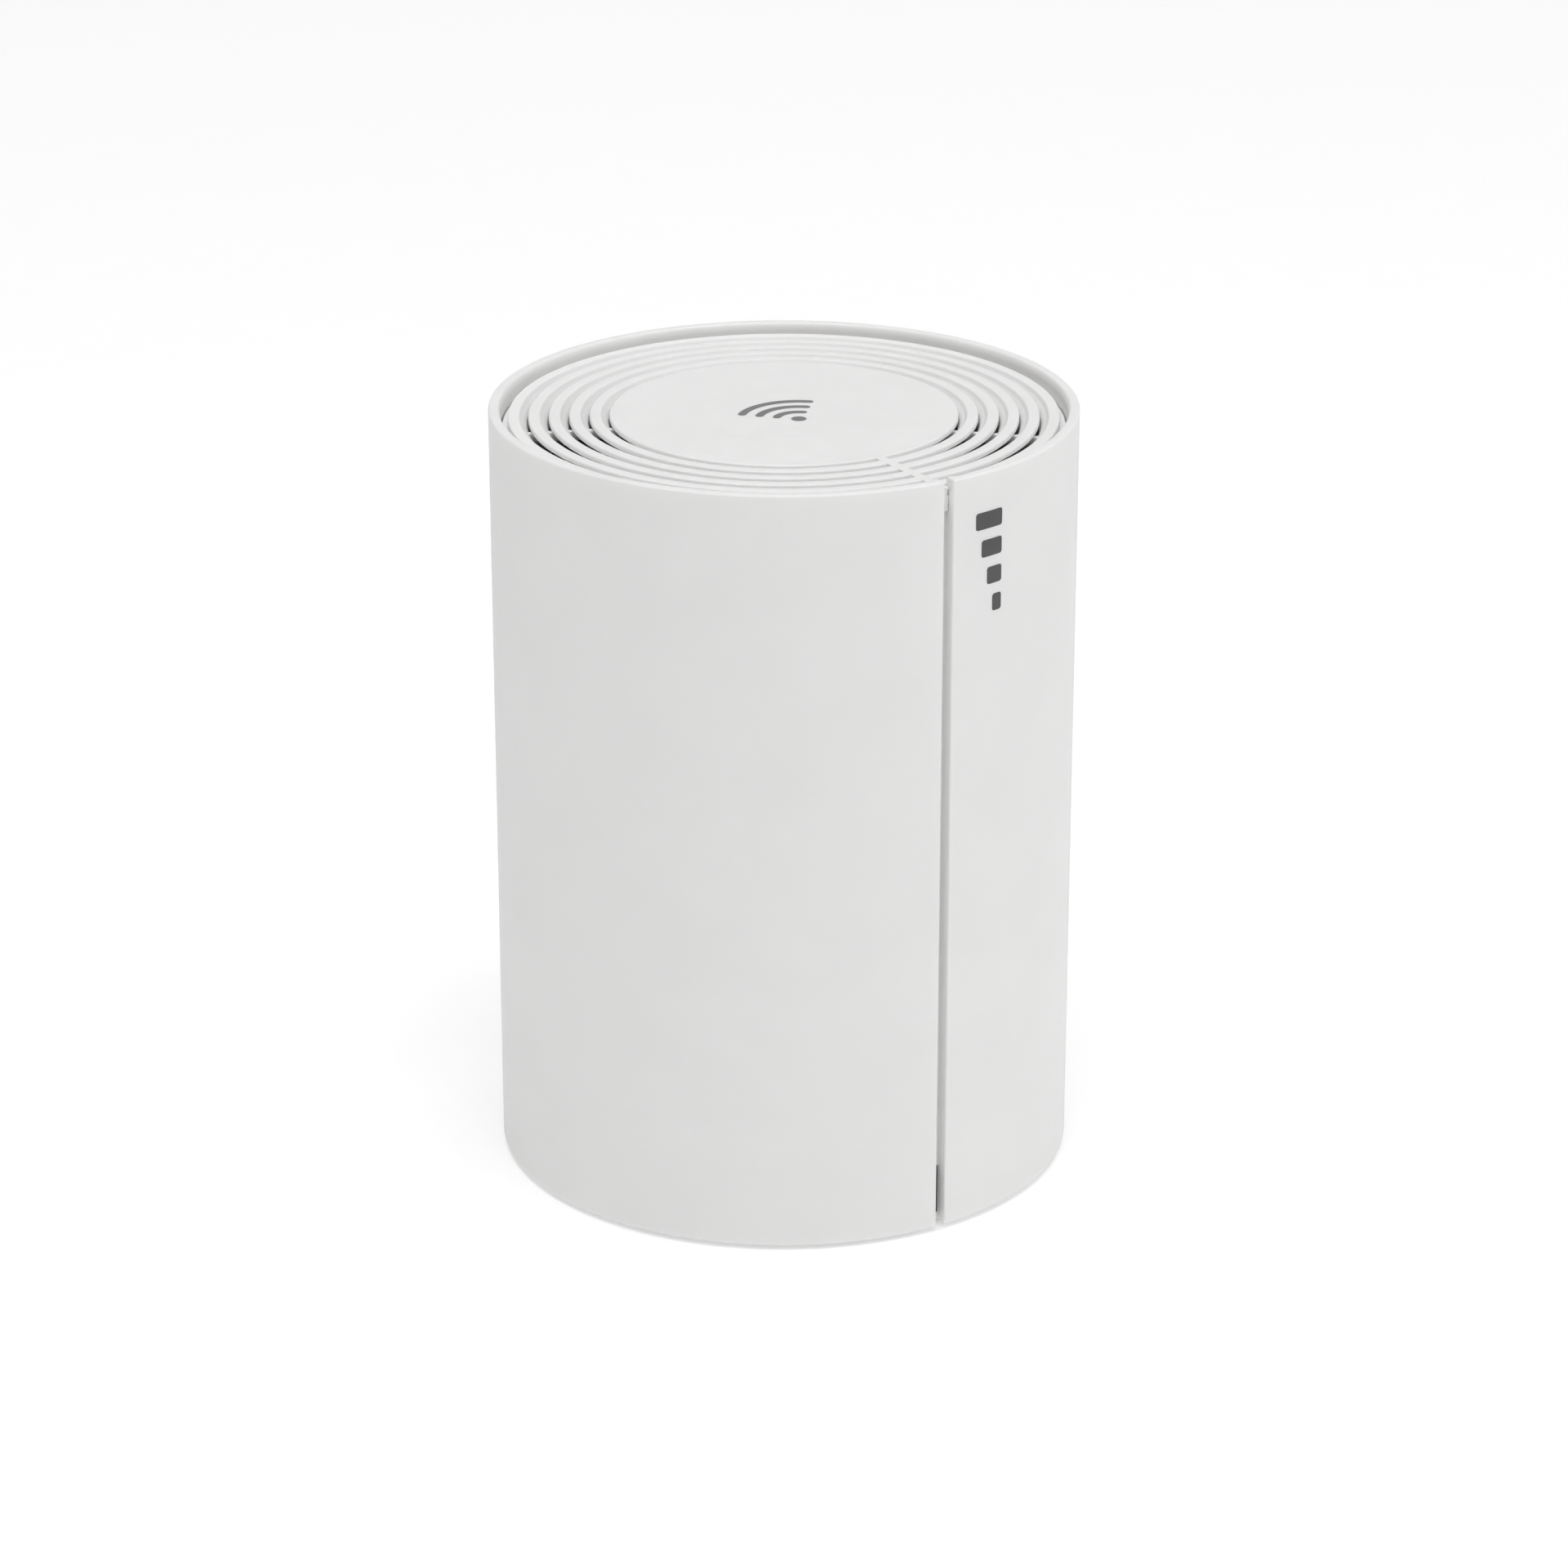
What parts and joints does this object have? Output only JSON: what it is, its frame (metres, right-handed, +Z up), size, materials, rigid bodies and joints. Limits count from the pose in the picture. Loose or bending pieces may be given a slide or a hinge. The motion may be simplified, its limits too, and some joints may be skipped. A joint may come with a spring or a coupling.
{
  "type": "wireless router",
  "caption": "Upright cylindrical wireless router in matt white plastic, with a recessed ringed vent top, a narrow light slit down the front and a rear bay of network jacks.",
  "frame": {"origin": "centre of the foot ring's underside, at the middle of the object's base", "axes": "+Z is up along the cylinder; -Y is the front, with the light slit; +Y is the rear, with the port bay"},
  "size_m": [0.105, 0.105, 0.1413],
  "materials": {
    "white_housing": "moulded ABS with a very fine matt texture",
    "grey_bezel": "moulded ABS, fine texture",
    "foot_rubber": "matt soft rubber",
    "label_film": "blank satin film",
    "frame_black": "moulded ABS",
    "connector_black": "moulded nylon",
    "plunger_grey": "moulded nylon",
    "light_pipe": "smoked clear polycarbonate",
    "circuit_board": "green solder mask over glass laminate",
    "chip_epoxy": "moulded epoxy",
    "shield_tin": "tin-plated sheet",
    "contact_gold": "gold-plated spring wire",
    "heatsink_aluminium": "extruded, plain",
    "thermal_silicone": "soft silicone pad",
    "screw_steel": "zinc plated",
    "cable_jacket": "extruded jacket",
    "led_resin": "clear resin"
  },
  "bodies": {
    "body": {"outer_shell": "white_housing", "top_grille": "white_housing", "base_cover": "white_housing", "port_bezel": "grey_bezel", "foot_ring": "foot_rubber", "rating_label": "label_film", "inner_frame": "frame_black", "frame_floor": "frame_black", "frame_crown": "frame_black", "wan_jack_housing": "connector_black", "lan1_jack_housing": "connector_black", "lan2_jack_housing": "connector_black", "dc_jack": "connector_black", "wps_switch": "connector_black", "reset_switch": "connector_black", "light_pipe": "light_pipe", "main_board": "circuit_board", "led_board": "circuit_board", "antenna_1": "circuit_board", "antenna_2": "circuit_board", "antenna_3": "circuit_board", "antenna_4": "circuit_board", "soc_chip": "chip_epoxy", "memory_chip": "chip_epoxy", "wifi_chip": "chip_epoxy", "wan_transformer": "chip_epoxy", "lan1_transformer": "chip_epoxy", "lan2_transformer": "chip_epoxy", "power_inductor": "chip_epoxy", "soc_shield": "shield_tin", "rf_shield": "shield_tin", "wan_jack_shield": "shield_tin", "lan1_jack_shield": "shield_tin", "lan2_jack_shield": "shield_tin", "dc_jack_pin": "shield_tin", "wan_jack_contacts": "contact_gold", "lan1_jack_contacts": "contact_gold", "lan2_jack_contacts": "contact_gold", "heatsink": "heatsink_aluminium", "bulk_capacitor": "heatsink_aluminium", "thermal_pad": "thermal_silicone", "base_screw_1": "screw_steel", "base_screw_2": "screw_steel", "base_screw_3": "screw_steel", "board_screw_1": "screw_steel", "board_screw_2": "screw_steel", "board_screw_3": "screw_steel", "board_screw_4": "screw_steel", "heatsink_screw_1": "screw_steel", "heatsink_screw_2": "screw_steel", "antenna_cable_1": "cable_jacket", "antenna_cable_2": "cable_jacket", "antenna_cable_3": "cable_jacket", "antenna_cable_4": "cable_jacket", "led_cable": "cable_jacket", "status_led": "led_resin"},
    "wps_button": {"wps_button": "white_housing"},
    "wps_plunger": {"wps_plunger": "plunger_grey"},
    "reset_plunger": {"reset_plunger": "plunger_grey"}
  },
  "joints": [
    {"name": "wps_press", "type": "slide", "parent": "body", "child": "wps_button", "axis": [0, -1, 0], "range_m": [0, 0.0005], "stiffness_N_per_m": 300},
    {"name": "wps_plunger_press", "type": "slide", "parent": "body", "child": "wps_plunger", "axis": [0, -1, 0], "range_m": [0, 0.0005]},
    {"name": "reset_press", "type": "slide", "parent": "body", "child": "reset_plunger", "axis": [0, -1, 0], "range_m": [0, 0.0003], "stiffness_N_per_m": 300}
  ],
  "couplings": [
    {"joint": "wps_plunger_press", "follows": "wps_press", "ratio": 1}
  ]
}
